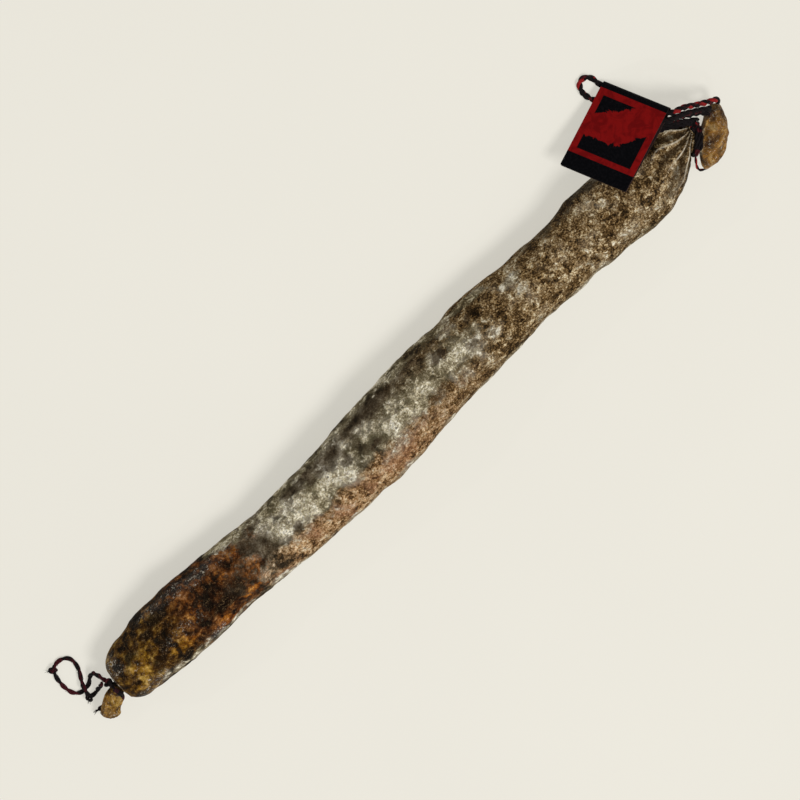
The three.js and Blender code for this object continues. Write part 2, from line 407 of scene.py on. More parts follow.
DARK_PATCHES = [
    (-185, 28, 14, 14, 1.0), (-229, -34, 14, 16, 0.85), (-244, -24, 9, 14, 0.7),
    (-250, 24, 8, 14, 0.75), (-262, -20, 8, 16, 0.7), (-205, 20, 12, 12, 0.5), (-176, 8, 16, 12, 0.5),
    (-236, 52, 10, 16, 0.5), (-72, -32, 12, 14, 0.8), (-62, -14, 5, 10, 0.7), (-24, -50, 13, 16, 0.75),
    (-40, -46, 16, 14, 0.65), (30, -20, 11, 13, 1.0), (57, 4, 8, 10, 0.9), (15, 21, 9, 9, 0.65),
    (-40, 0, 6, 6, 0.7), (-117, 7, 8, 8, 0.7), (-148, -20, 12, 16, 0.7), (-100, 30, 16, 5, 0.4),
    (62, -32, 12, 8, 0.6), (144, 42, 20, 9, 0.5), (110, 62, 30, 10, 0.35), (180, 62, 20, 12, 0.4),
    (234, 50, 22, 22, 0.65),
]
WET_PATCHES = [
    (-276, -35, 8, 36, 1.0), (-208, 62, 11, 15, 1.0), (-190, -42, 28, 18, 0.8), (-262, 58, 14, 22, 0.8),
    (-232, -56, 16, 12, 0.7), (-264, 10, 9, 18, 0.5), (-222, 10, 18, 16, 0.4),
]
# These two mould patches lie over the dark spots and the painted flank shade.
COVERING_MOULD = MOULD_AND_SHEEN_PATCHES[:1] + MOULD_AND_SHEEN_PATCHES[8:9]

# Where each zone of colour, painted sheen and painted shade starts or ends along x, as the two ends of its
# soft edge.
MIDDLE_STARTS = (-166, -118)
MIDDLE_ENDS = (34, 90)
SPECKS_START = (-30, 70)
GLAZE_ENDS = (-190, -126)
OLIVE_ENDS = (-244, -206)
UPPER_GLAZE_STARTS = (246, 262)
UPPER_OLIVE_STARTS = (250, 262)
PAINTED_SHEEN_STARTS = (-215, -165)
FLANK_SHADE_STARTS = (84, 150)

# The same for turns from the crown, in degrees.
UNSEEN_STARTS = (88, 120)
LIT_SIDE_STARTS = (2, 26)
PAINTED_SHEEN_TURN = (52, 76)
FLANK_MOULD_TURN = (36, 58)
FLANK_SHADE_TURN = (38, 66)

PAINTED = ("mould_and_sheen", "tan", "amber", "dark", "glaze", "speck", "olive", "painted_fold_light", "groove", "wet", "plump")


def patch_level(patches, x, turn, ragged):
    """How far each point is inside the patches, from 0 to 1, with ragged edges."""
    level = np.zeros(len(x))
    for centre, angle, half_length, half_width, strength in patches:
        away = (turn - angle + 180) % 360 - 180
        reach = 1 - np.hypot((x - centre) / half_length, away / half_width) + ragged * 0.45
        level = np.maximum(level, strength * np.clip(reach * 1.7 + 0.15, 0, 1))
    return level


def stretch(x, start, end):
    """0 before start and 1 after end, with an eased rise."""
    share = np.clip((x - start) / (end - start), 0, 1)
    return share * share * (3 - 2 * share)


def sausage_rows():
    rows = np.array(
        LOWER_TUFT
        + LOWER_NECK
        + LOWER_SHOULDER
        + [[x, y, radius * SETTLED_HEIGHT, radius, radius, 0] for x, y, radius in BODY]
        + UPPER_SHOULDER
        + UPPER_NECK
        + UPPER_TUFT,
        dtype=float,
    )
    knots = travelled_along(rows[:, :4])
    at = np.linspace(0, knots[-1], SAUSAGE_RINGS)
    fine = np.stack([eased(knots, rows[:, column], at) for column in range(6)], axis=1)
    neck_low = knots[len(LOWER_TUFT)], knots[len(LOWER_TUFT) + 1]
    high = len(rows) - len(UPPER_TUFT) - 2
    neck_high = knots[high], knots[high + 1]
    return fine, at, neck_low, neck_high


def outside(at, neck):
    """Distance along the sweep from a neck, negative before it."""
    return np.where(at < neck[0], at - neck[0], np.where(at > neck[1], at - neck[1], 0))


def folds(angle, count, phase, wobble):
    """Sharp folds round a section: 1 on a crest and -1 in a groove."""
    return 1 - 2 * np.abs(np.sin(count * angle / 2 + phase + wobble))


def swept_skin():
    """Skin points before they are wrinkled, their normals, and their places round and along the sweep."""
    rows, at, neck_low, neck_high = sausage_rows()
    sides = SAUSAGE_SIDES
    angle = np.tile(2 * np.pi * np.arange(sides) / sides, len(rows))
    x, y, z, half_width, half_height, heading = np.repeat(rows, sides, axis=0).T
    heading = np.radians(heading)
    side = np.stack([-np.sin(heading), np.cos(heading), np.zeros_like(heading)], axis=1)
    up = np.array([0.0, 0.0, 1.0])
    flat = np.stack([x, y, z], axis=1)
    flat = flat + side * (half_width * np.cos(angle))[:, None] + up * (half_height * np.sin(angle))[:, None]
    normal = side * (half_height * np.cos(angle))[:, None] + up * (half_width * np.sin(angle))[:, None]
    normal /= np.linalg.norm(normal, axis=1)[:, None]
    from_low = np.repeat(outside(at, neck_low), sides)
    from_high = np.repeat(outside(at, neck_high), sides)
    return flat, normal, angle, half_height, from_low, from_high


def make_sausage(material):
    flat, normal, angle, half_height, from_low, from_high = swept_skin()
    body = stretch(from_low, 4, 26) * stretch(-from_high, 4, 30)
    lumps = lattice_noise(flat, 34, 1) * 1.2 + lattice_noise(flat, 15, 2) + lattice_noise(flat, 7, 14) * 0.4
    grain = lattice_noise(flat * (0.4, 1, 1), 3.2, 3) * 0.26 + lattice_noise(flat, 1.8, 4) * 0.13
    shift = body * lumps + grain * np.clip(half_height / 8, 0.3, 1)

    # The casing is drawn into folds beside each neck, and the folds run out along the shoulders.
    sway_low = lattice_noise(flat, 8, 5) * 0.7
    low_folds = np.exp(-np.abs(from_low) / 7) * (from_low > 0) * folds(angle, LOWER_FOLDS, 0.4, sway_low)
    lip = np.exp(-(((from_low - LIP_FROM_NECK) / LIP_WIDTH) ** 2)) * (from_low > 0)
    shift += 0.9 * low_folds + lip * (0.9 + 0.4 * sway_low)
    sway_high = lattice_noise(flat, 14, 6) * 0.9
    before_high = (from_high < 0) * np.clip(-from_high / 3, 0, 1)
    high_folds = np.exp(-np.abs(from_high) / 20) * before_high * folds(angle, UPPER_FOLDS, 1.1, sway_high)
    fan = np.arctan2(flat[:, 1] - KNOT_Y, KNOT_X - flat[:, 0])
    drawn = np.exp(-np.abs(from_high) / 30) * before_high
    pleats = folds(fan, FAN_PLEATS, 0.6, sway_high * 0.8) * np.clip(drawn * 1.6, 0, 1)
    shift += 0.9 * high_folds + 1.4 * pleats

    # Past each neck the gathered end is crumpled and folded along its length.
    out_low = np.clip(-from_low / 5, 0, 1)
    out_high = np.clip(from_high / 6, 0, 1)
    crumple = lattice_noise(flat, 4.5, 7) * 0.8 + lattice_noise(flat, 2.2, 8) * 0.35
    shift += out_low * (crumple * 0.75 + 0.5 * folds(angle, TUFT_FOLDS, 0.3, sway_low))
    tuft_folds = folds(angle, TUFT_FOLDS, 0.8, sway_high * 0.7)
    shift += out_high * (1.5 + crumple * 0.8 + 0.9 * tuft_folds) * np.clip(half_height / 5, 0.1, 1)

    points = flat + normal * shift[:, None]
    points[:, 2] += out_high * 1.5 * np.sin(np.cos(angle) * 4.2 + 0.6) * np.clip(from_high / 14, 0, 1)
    points[:, 2] = np.maximum(points[:, 2], SKIN_LEAST_HEIGHT)
    piece = new_piece("sausage_skin", points, skin_faces(), [material])
    creased = 0.6 * low_folds + 0.22 * out_high * tuft_folds
    paint_casing(piece, points, angle, out_low, out_high, pleats, lip, creased)
    add_strip_uv(piece)
    return piece


def skin_faces():
    """Quads between neighbouring rings, then a cap at each end."""
    sides = SAUSAGE_SIDES
    starts = np.arange(SAUSAGE_RINGS - 1)[:, None] * sides
    around = np.arange(sides)[None, :]
    after = (around + 1) % sides
    corners = [starts + around, starts + after, starts + sides + after, starts + sides + around]
    quads = np.stack(corners, axis=-1).reshape(-1, 4)
    last = (SAUSAGE_RINGS - 1) * sides
    return quads.tolist() + [list(range(sides))[::-1], list(range(last, last + sides))]


def paint_casing(piece, points, angle, out_low, out_high, pleats, lip, creased):
    """Stores how much of each colour, painted light and shade, and finish every point has, for the casing's
    material.
    """
    ragged = lattice_noise(points, 11, 11) + 0.7 * lattice_noise(points, 5, 12)
    ragged = ragged + 0.5 * lattice_noise(points, 2.4, 13)
    turn = (np.degrees(angle) - CROWN_TURN + 180) % 360 - 180
    body_x = points[:, 0]

    def level(patches):
        return patch_level(patches, body_x, turn, ragged)

    unseen = stretch(np.abs(turn), *UNSEEN_STARTS)
    middle = stretch(body_x, *MIDDLE_STARTS) * (1 - stretch(body_x, *MIDDLE_ENDS))
    speck = stretch(body_x + 10 * ragged, *SPECKS_START) * (1 - out_high)
    crown = np.exp(-((turn + 8) / 34) ** 2)
    lit_side = stretch(turn, *LIT_SIDE_STARTS) * (1 - unseen * 0.6)
    spots = level(DARK_PATCHES)

    mould_and_sheen = np.maximum(level(MOULD_AND_SHEEN_PATCHES), middle * 0.8 * crown + speck * 0.2) + unseen * middle * 0.35
    # Painted sheen: a pale grey veil along the lower -Y side from x -215 on, drawn with the mould's colours.
    painted_sheen = stretch(body_x, *PAINTED_SHEEN_STARTS) * stretch(turn, *PAINTED_SHEEN_TURN) * (turn > 0)
    mould_and_sheen = np.maximum(mould_and_sheen, 0.55 * painted_sheen)
    mould_and_sheen = np.maximum(mould_and_sheen, 0.66 * middle * stretch(-turn, *FLANK_MOULD_TURN) * (1 - unseen))
    mould_and_sheen = mould_and_sheen * (1 - out_high) * (1 - out_low) * (1 - 0.8 * spots)

    tan = np.maximum(level(TAN_PATCHES), middle * 0.9 * lit_side)
    tan = (np.maximum(tan, speck * 0.42) + unseen * 0.25 * (middle + speck)) * (1 - out_high)

    # Painted shade: a darker band along the +Y flank, faint up to x 84 and deep past x 150.
    flank_shade = stretch(-turn + 9 * ragged, *FLANK_SHADE_TURN) * (turn < 0) * (1 - unseen * 0.7)
    flank_shade = flank_shade * (0.08 + 0.74 * stretch(body_x, *FLANK_SHADE_STARTS))
    # dark holds the dark spots and the painted flank shade, thinned under two mould patches.
    dark = np.maximum(spots, flank_shade) * (1 - 0.9 * level(COVERING_MOULD))

    glaze = 1 - stretch(body_x + 14 * ragged, *GLAZE_ENDS)
    glaze = np.maximum(glaze, 0.7 * stretch(body_x, *UPPER_GLAZE_STARTS))
    olive = 1 - stretch(body_x + 8 * ragged, *OLIVE_ENDS)
    olive = np.maximum(olive, 0.6 * stretch(body_x, *UPPER_OLIVE_STARTS))
    amber = np.maximum(level(AMBER_PATCHES), np.maximum(0.75 * out_low, 0.55 * out_high))

    glints = lip * (1 - unseen) * np.clip(0.1 + 1.3 * ragged, 0, 0.75)
    # Painted light on the folds: positive values paint a highlight on the crests of the pleats, folds and
    # lip, negative values paint shade in their grooves.
    painted_fold_light = pleats + glints + creased
    wet = np.maximum(level(WET_PATCHES), np.maximum(0.55 * out_high, 0.5 * out_low))
    wet = np.maximum(wet, np.maximum(np.clip(1.4 * pleats, 0, 1), lip))
    plump = np.maximum(out_high, 0.4 * out_low)

    levels = (mould_and_sheen, tan, amber, dark, glaze, speck, olive, painted_fold_light, -painted_fold_light, wet, plump)
    for name, values in zip(PAINTED, levels):
        layer = piece.data.attributes.new(name, "FLOAT", "POINT")
        layer.data.foreach_set("value", np.clip(values, 0, 1).astype(np.float32))


def add_strip_uv(piece):
    """UVs that unroll the skin as two strips, one above the other."""
    layer = piece.data.uv_layers.new(name="OFBake")
    sides = SAUSAGE_SIDES
    half = SAUSAGE_RINGS // 2
    index = np.arange((SAUSAGE_RINGS - 1) * sides)
    ring = index // sides
    around = index % sides
    upper = ring >= half
    along = np.where(upper, ring - half, ring)
    margin = 0.004
    length = 1 / half
    height = 0.5 / sides
    corners = []
    for step_along, step_around in ((0, 0), (0, 1), (1, 1), (1, 0)):
        u = np.clip((along + step_along) * length, margin, 1 - margin)
        v = (around + step_around) * height * (1 - 2 * margin) + margin + 0.5 * upper
        corners.append(np.stack([u, v * (1 - margin)], axis=1))
    uv = np.stack(corners, axis=1).reshape(-1, 2)
    caps = np.full((len(layer.data) - len(uv), 2), margin / 2)
    layer.data.foreach_set("uv", np.vstack([uv, caps]).astype(np.float32).ravel())


def casing_material():
    n = Nodes("casing")
    place = n.place()
    mould_and_sheen, tan, amber, dark, glaze, speck, olive, painted_fold_light, groove, wet, plump = map(n.attribute, PAINTED)

    def swing(noise, amount):
        return n.math("MULTIPLY_ADD", noise, amount, -0.5 * amount)

    def held(level, amount):
        """amount, where level is above nothing."""
        return n.times(n.ramp(level, 0.02, 0.3), amount)

    def total(*values):
        result = values[0]
        for value in values[1:]:
            result = n.math("ADD", result, value)
        return result

    def creases(size_mm, width, distortion, stretched=(1.0, 1.0, 1.0)):
        """1 on thin branching lines and 0 between them."""
        field = n.noise(n.scaled(place, stretched), size_mm, 3, roughness=0.6, distortion=distortion)
        away = n.math("ABSOLUTE", n.math("SUBTRACT", field, 0.5))
        return n.ramp(away, 0, width, 1, 0)

    broad = n.noise(place, 17, 4)
    cloud = n.noise(place, 8, 6, roughness=0.62, distortion=0.4)
    clump = n.noise(place, 4.6, 7, roughness=0.72, distortion=0.5)
    medium = n.noise(place, 3.0, 6, roughness=0.68, distortion=0.3)
    fine = n.noise(place, 1.2, 4, roughness=0.65)
    wrinkles = creases(4.6, 0.03, 0.9)
    hairlines = creases(1.9, 0.05, 0.5, (0.55, 1.0, 1.0))

    # Glazed meat seen through the casing: olive-gold at the end, red-brown further up.
    depth = total(cloud, swing(broad, 0.45), swing(medium, 0.36), swing(fine, 0.14))
    ground = n.tones(depth, [
        (0.36, 10, 4, 1), (0.46, 42, 20, 6), (0.54, 86, 48, 18), (0.62, 128, 76, 32), (0.72, 176, 124, 76),
    ])
    green = n.tones(depth, [
        (0.36, 9, 4, 1), (0.46, 38, 22, 4), (0.54, 80, 51, 13), (0.62, 126, 93, 34), (0.72, 180, 147, 84),
    ])
    ground = n.mix(olive, ground, green)
    golden = n.tones(depth, [
        (0.34, 60, 26, 4), (0.46, 116, 58, 12), (0.56, 162, 94, 26), (0.68, 208, 146, 66),
    ])
    yellow = n.tones(depth, [
        (0.34, 54, 34, 4), (0.46, 108, 72, 12), (0.56, 156, 114, 30), (0.68, 206, 168, 84),
    ])
    golden = n.mix(olive, golden, yellow)
    amber_level = n.ramp(total(amber, held(amber, total(swing(cloud, 1.6), swing(medium, 1.4)))), 0.2, 1.0)
    colour = n.mix(amber_level, ground, golden)

    # Smoky grey-olive casing where it has dried.
    haze = total(cloud, swing(broad, 0.6), swing(fine, 0.4))
    smoke = n.tones(haze, [
        (0.34, 44, 36, 25), (0.46, 84, 74, 58), (0.57, 122, 112, 94), (0.7, 164, 154, 134),
    ])
    dried = n.ramp(total(glaze, swing(medium, 2.0), swing(broad, 1.2)), 0.85, 0.2, 0, 0.9)
    colour = n.mix(dried, colour, smoke)

    # Tan casing with fine creases.
    weave = total(medium, swing(cloud, 1.1), swing(fine, 0.8))
    sandy = n.tones(weave, [
        (0.32, 66, 42, 22), (0.42, 126, 90, 54), (0.5, 170, 132, 90),
        (0.58, 200, 164, 122), (0.68, 232, 206, 168), (0.78, 248, 234, 208),
    ])
    sandy = n.mix(n.ramp(broad, 0.45, 0.6, 0, 0.45), sandy, srgb(158, 106, 76))
    tan_level = n.ramp(total(tan, held(tan, total(swing(cloud, 2.4), swing(medium, 1.4)))), 0.1, 1.0)
    colour = n.mix(tan_level, colour, sandy)

    # Mottling of cream and olive flecks, gathered in clumps.
    flecks = total(clump, swing(broad, 0.5), swing(cloud, 0.5), swing(fine, 0.8))
    mottled = n.tones(flecks, [
        (0.32, 22, 15, 6), (0.4, 62, 45, 24), (0.46, 102, 78, 46), (0.53, 142, 113, 74),
        (0.59, 186, 160, 118), (0.66, 224, 206, 168), (0.75, 250, 242, 220),
    ])
    colour = n.mix(n.times(speck, 0.95), colour, mottled)

    # Dark spots, and painted shade along the +Y flank: smoky on the dry casing and near black on the glazed
    # end.
    spots_and_shade = n.tones(haze, [(0.36, 30, 23, 15), (0.5, 66, 56, 43), (0.64, 106, 96, 79)])
    spots_and_shade = n.mix(glaze, spots_and_shade, srgb(12, 5, 1))
    spots_and_shade_level = total(dark, held(dark, total(swing(cloud, 1.8), swing(medium, 1.0))))
    colour = n.mix(n.ramp(spots_and_shade_level, 0.15, 1.0, 0, 0.94), colour, spots_and_shade)

    # Mould bloom, and painted sheen on the lower -Y side: a thin grey veil that thickens to cottony cream.
    soft = total(mould_and_sheen, held(mould_and_sheen, total(swing(broad, 2.0), swing(cloud, 1.2))))
    film = n.mix(n.ramp(broad, 0.42, 0.6), srgb(122, 114, 88), srgb(156, 148, 132))
    colour = n.mix(n.ramp(soft, 0.1, 0.9, 0, 0.75), colour, film)
    bloom = total(clump, swing(broad, 0.7), swing(fine, 0.7))
    cotton = n.tones(bloom, [
        (0.34, 92, 80, 56), (0.43, 146, 134, 104), (0.52, 196, 184, 152),
        (0.61, 232, 222, 196), (0.7, 252, 246, 230),
    ])
    thick = n.ramp(total(soft, held(mould_and_sheen, total(swing(clump, 2.6), swing(medium, 1.0)))), 0.42, 1.05)
    colour = n.mix(thick, colour, cotton)
    pits = n.times(n.ramp(n.cells(place, 4.2), 0.3, 0.14), n.ramp(clump, 0.5, 0.58))
    colour = n.mix(n.times(pits, 0.7), colour, srgb(50, 38, 24))

    # The gathered ends are smoother: brown and olive, with amber where the light goes through.
    swell = total(n.noise(place, 11, 3), swing(cloud, 0.3), swing(fine, 0.12))
    meat = n.tones(swell, [
        (0.3, 32, 15, 5), (0.4, 72, 44, 17), (0.48, 116, 84, 42), (0.56, 150, 100, 32), (0.66, 192, 156, 96),
    ])
    colour = n.mix(n.times(plump, 0.8), colour, meat)

    # Painted highlight on the crests of the drawn-up pleats, folds and lip, and painted shade in their
    # grooves.
    colour = n.mix(n.ramp(groove, 0.05, 0.7, 0, 0.8), colour, srgb(34, 24, 12))
    colour = n.mix(n.ramp(painted_fold_light, 0.32, 0.75, 0, 0.88), colour, srgb(232, 220, 196))

    # Painted shade: darker thin lines along the wrinkles and hairline creases, near black on the glazed end.
    lines = n.math("MAXIMUM", n.times(wrinkles, 0.8), hairlines)
    lines = n.times(lines, n.ramp(cloud, 0.36, 0.54))
    colour = n.mix(n.times(lines, 0.62), colour, n.mix(glaze, srgb(60, 42, 22), srgb(12, 6, 2)))

    # Painted highlights: pale specks and streaks where light glints on the glazed end.
    streaks = creases(3.0, 0.016, 1.2, (0.8, 1.4, 1.4))
    painted_glints = n.math("MAXIMUM", n.ramp(n.noise(place, 1.1, 2, distortion=1.5), 0.64, 0.7), streaks)
    painted_glints = n.times(n.times(painted_glints, glaze), n.ramp(medium, 0.44, 0.6))
    colour = n.mix(n.times(painted_glints, 0.45), colour, srgb(206, 170, 122))

    # Painted highlights: pale sparkles where the casing is wet.
    painted_sparkle = n.ramp(n.noise(place, 1.6, 3, distortion=1.4), 0.58, 0.63)
    painted_sparkle = n.times(n.times(painted_sparkle, n.ramp(clump, 0.46, 0.54)), wet)
    colour = n.mix(n.times(painted_sparkle, 0.85), colour, srgb(238, 230, 212))
    gloss = n.math("MULTIPLY_ADD", wet, 0.34, n.times(glaze, 0.04))
    gloss = n.times(gloss, n.ramp(thick, 0.0, 0.5, 1.0, 0.0))
    rough = n.math("SUBTRACT", n.ramp(thick, 0, 1, 0.78, 0.92), n.times(wet, 0.2))
    height = total(
        n.times(clump, 1.1),
        n.times(fine, 0.4),
        n.times(wrinkles, -0.16),
        n.times(hairlines, -0.09),
        n.times(cloud, 0.8),
        n.times(thick, 0.12),
    )
    n.link(n.shader.inputs["Coat Weight"], gloss)
    n.shader.inputs["Coat Roughness"].default_value = 0.1
    n.shader.inputs["Specular IOR Level"].default_value = 0.03
    return n.finish(colour, rough, height, bump_mm=1.5, strength=0.9)


# ---- cords


def travel_frames(path):
    """Unit tangents and two unit normals at each point, with the least twist along the path."""
    tangents = np.gradient(path, axis=0)
    tangents /= np.linalg.norm(tangents, axis=1)[:, None]
    start = np.cross(tangents[0], (0.0, 0.0, 1.0))
    if np.linalg.norm(start) < 0.1:
        start = np.cross(tangents[0], (1.0, 0.0, 0.0))
    normals = [start / np.linalg.norm(start)]
    for tangent in tangents[1:]:
        carried = normals[-1] - tangent * np.dot(normals[-1], tangent)
        normals.append(carried / np.linalg.norm(carried))
    normals = np.array(normals)
    return tangents, normals, np.cross(tangents, normals)


CORD_LEAST_HEIGHT = 0.04
PLY_OFFSET = 0.2
PLY_RADIUS = 0.32
PLY_SIDES = 14
YARNS_IN_PLY = 4
YARN_GROOVE = 0.09


def tube(path, radii, sides, yarns=0, yarn_twist=0.0):
    """Vertices and faces of a closed tube; yarns makes shallow twisted grooves in it."""
    path = np.asarray(path, dtype=float)
    _, normals, others = travel_frames(path)
    travelled = travelled_along(path)
    around = 2 * np.pi * np.arange(sides) / sides
    wave = np.cos(yarns * around[None, :] + yarn_twist * travelled[:, None])
    groove = 1 + YARN_GROOVE * wave * (yarns > 0)
    reach = np.asarray(radii)[:, None] * groove
    points = (
        path[:, None, :]
        + normals[:, None, :] * (reach * np.cos(around))[:, :, None]
        + others[:, None, :] * (reach * np.sin(around))[:, :, None]
    ).reshape(-1, 3)
    faces = []
    for ring in range(len(path) - 1):
        first = ring * sides
        for side in range(sides):
            after = (side + 1) % sides
            faces.append((first + side, first + after, first + sides + after, first + sides + side))
    last = (len(path) - 1) * sides
    faces.append(tuple(range(sides))[::-1])
    faces.append(tuple(range(last, last + sides)))
    return points, faces


class Bundle:
    """Gathers tubes into one mesh with a material for each."""

    def __init__(self):
        self.points = []
        self.faces = []
        self.looks = []
        self.count = 0

    def add(self, points, faces, look):
        self.points.append(points)
        self.faces += [tuple(self.count + index for index in face) for face in faces]
        self.looks += [look] * len(faces)
        self.count += len(points)

    def piece(self, name, materials):
        points = np.vstack(self.points)
        points[:, 2] = np.maximum(points[:, 2], CORD_LEAST_HEIGHT)
        return new_piece(name, points, self.faces, materials, self.looks)


def add_strand(bundle, path, diameter, lay, looks, phase=0.0, taper=1.2):
    """Two plies twisted round the path."""
    _, normals, others = travel_frames(path)
    travelled = travelled_along(path)
    for ply in range(2):
        turn = 2 * np.pi * travelled / lay + np.pi * ply + phase
        middle = path + PLY_OFFSET * diameter * (
            normals * np.cos(turn)[:, None] + others * np.sin(turn)[:, None]
        )
        from_end = np.minimum(travelled, travelled[-1] - travelled)
        radii = PLY_RADIUS * diameter * (0.45 + 0.55 * np.sqrt(np.clip(from_end / taper, 0, 1)))
        points, faces = tube(middle, radii, PLY_SIDES, yarns=YARNS_IN_PLY, yarn_twist=-4 * np.pi / lay)
        bundle.add(points, faces, looks[ply])


def add_hairs(bundle, path, diameter, count, reach, looks, rng):
    """Short loose fibres that stand off a cord."""
    tangents, normals, others = travel_frames(path)
    for _ in range(count):
        index = rng.integers(2, len(path) - 2)
        angle = rng.uniform(0, 2 * np.pi)
        out = normals[index] * math.cos(angle) + others[index] * math.sin(angle)
        lean = tangents[index] * rng.uniform(-1.4, 1.4)
        base = path[index] + out * diameter * 0.42
        length = rng.uniform(0.4, 1.0) * reach
        middle = base + (out * 0.75 + lean) * length * 0.5
        tip = base + (out * 0.9 + lean * 1.6) * length * 0.8
        points, faces = tube([base, middle, tip], [0.1, 0.085, 0.03], 4)
        bundle.add(points, faces, looks[rng.integers(0, 2)])


def add_fray(bundle, at, direction, count, length, looks, rng, spread=0.55):
    """Loose yarn ends that splay out from a cut cord end."""
    direction = np.asarray(direction, dtype=float) / np.linalg.norm(direction)
    for _ in range(count):
        sway = rng.normal(0, spread, 3)
        bend = rng.normal(0, spread, 3)
        reach = length * rng.uniform(0.5, 1.0)
        base = np.asarray(at) + rng.normal(0, 0.35, 3)
        steps = np.linspace(0, 1, 7)[:, None]
        line = base + reach * (direction * steps + sway * steps * 0.55 + bend * steps**2 * 0.5)
        line[:, 2] = np.maximum(line[:, 2], 0.25)
        points, faces = tube(line, np.linspace(0.2, 0.07, 7), 5)
        bundle.add(points, faces, looks[rng.integers(0, 2)])


def knot_path(centre, size, first, second, spacing=0.4):
    """An overhand knot drawn tight: an open three-lobed loop about a centre."""
    first = np.asarray(first, dtype=float) / np.linalg.norm(first)
    second = np.asarray(second, dtype=float)
    second = second - first * np.dot(first, second)
    second /= np.linalg.norm(second)
    third = np.cross(first, second)
    turn = np.linspace(0.12, 2 * np.pi - 0.12, 160)
    lobes = np.sin(turn) + 2 * np.sin(2 * turn), np.cos(turn) - 2 * np.cos(2 * turn)
    local = np.stack([*lobes, -1.15 * np.sin(3 * turn)], axis=1)
    points = np.asarray(centre) + size / 3 * (
        local[:, :1] * first + local[:, 1:2] * second + local[:, 2:] * third
    )
    return evenly_spaced(points, spacing)


def winding_path(neck, diameter, turns, gap, start, spacing=0.45):
    """Turns of cord side by side round a neck: x, y, z, half width, half height, heading."""
    x, y, z, half_width, half_height, heading = neck
    share = np.linspace(0, 1, int(turns * 60))
    angle = start + share * 2 * np.pi * turns
    heading = math.radians(heading)
    axis = np.array([math.cos(heading), math.sin(heading), 0.0])
    side = np.array([-math.sin(heading), math.cos(heading), 0.0])
    up = np.array([0.0, 0.0, 1.0])
    reach = gap + diameter / 2
    along = (share - 0.5) * (turns - 1) * diameter
    points = (
        np.array([x, y, z])
        + axis * along[:, None]
        + side * ((half_width + reach) * np.cos(angle))[:, None]
        + up * ((half_height + reach) * np.sin(angle))[:, None]
    )
    return evenly_spaced(points, spacing)


def yarn_material(name, base, lit, dark_share, patch_mm):
    """Yarn whose colour gives way to near black in patches."""
    n = Nodes(name)
    place = n.place()
    fibres = n.noise(n.scaled(place, (1.0, 1.0, 1.6)), 0.5, 4, roughness=0.65, distortion=1.2)
    patches = n.noise(place, patch_mm, 2)
    colour = n.mix(n.ramp(fibres, 0.4, 0.64), base, lit)
    ink = n.mix(n.ramp(fibres, 0.42, 0.66), srgb(5, 3, 4), srgb(22, 13, 16))
    cut = 0.38 + 0.24 * dark_share
    colour = n.mix(n.ramp(patches, cut - 0.03, cut + 0.03, 1.0, 0.0), colour, ink)
    n.shader.inputs["Sheen Weight"].default_value = 0.03
    n.shader.inputs["Sheen Roughness"].default_value = 0.5
    n.shader.inputs["Specular IOR Level"].default_value = 0.1
    return n.finish(colour, n.ramp(fibres, 0.3, 0.7, 0.85, 0.6), fibres, bump_mm=0.22, strength=0.8)


LOWER_CORD = 3.2
LOWER_TIE_CORD = 2.5
TAIL_CORD = 3.3
UPPER_CORD = 4.2
UPPER_TIE_CORD = 3.0
HOOK_CORD = 1.9
UNDER_TAG_CORD = 3.6
LOWER_LAY = 15
UPPER_LAY = 12.5

LOWER_LOOP_ROUTE = [
    [-286.6, 5.0, 20.5], [-288.4, 9.0, 13.5], [-290.6, 10.6, 7.0], [-294.3, 8.7, 2.8],
    [-298.0, 5.4, 1.7], [-302.6, 4.1, 1.7], [-307.0, 5.0, 1.7], [-310.0, 8.0, 1.7], [-311.5, 12.5, 1.7],
    [-311.6, 19.0, 1.7], [-310.6, 25.4, 1.7], [-308.2, 30.4, 1.7], [-304.0, 32.4, 1.7],
    [-298.8, 31.6, 1.7], [-295.3, 28.4, 1.7], [-294.7, 23.6, 1.7], [-296.2, 17.6, 1.7],
    [-299.3, 12.4, 2.8], [-301.6, 8.2, 4.8], [-302.9, 4.3, 5.2], [-303.8, 0.6, 3.9],
    [-302.8, -2.4, 2.2], [-299.8, -2.8, 2.0], [-296.2, -1.0, 5.0], [-293.2, 1.2, 10.6],
    [-290.0, 4.4, 17.2],
]
UPPER_LOOP_ROUTE = [
    [292.4, 1.2, 13.0], [292.2, 5.0, 17.6], [288.5, 8.0, 21.5], [279.5, 15.0, 27.0],
    [270.5, 22.6, 33.6], [265.5, 25.6, 37.0], [262.0, 27.2, 38.6], [259.7, 29.6, 37.3],
    [257.4, 33.9, 33.2], [250.7, 46.8, 20.7], [243.4, 60.9, 7.0], [241.6, 64.3, 3.8],
    [240.4, 67.6, 2.4], [239.6, 72.4, 2.1], [236.6, 76.6, 2.1], [232.0, 77.2, 2.1], [228.8, 73.4, 2.1],
    [228.2, 68.4, 2.6], [229.3, 64.2, 4.6], [230.7, 61.3, 6.6], [235.0, 55.2, 12.5],
    [242.4, 44.5, 22.8], [249.9, 33.6, 33.6], [253.2, 28.7, 38.4], [256.2, 25.7, 40.1],
    [260.3, 23.6, 38.6], [266.0, 20.3, 34.8], [274.0, 14.0, 29.5], [281.0, 8.3, 24.8],
    [285.0, 4.6, 22.4],
]
HOOK_ROUTE = [
    [257.0, -9.5, 15.0], [254.8, -13.0, 13.5], [252.6, -16.5, 11.5], [252.2, -19.8, 10.0],
    [255.5, -22.2, 8.5], [262.0, -22.5, 7.0], [269.0, -21.5, 5.8], [276.0, -18.0, 5.0],
    [282.5, -11.5, 6.0], [287.0, -2.0, 8.5], [290.5, 4.0, 12.0],
]
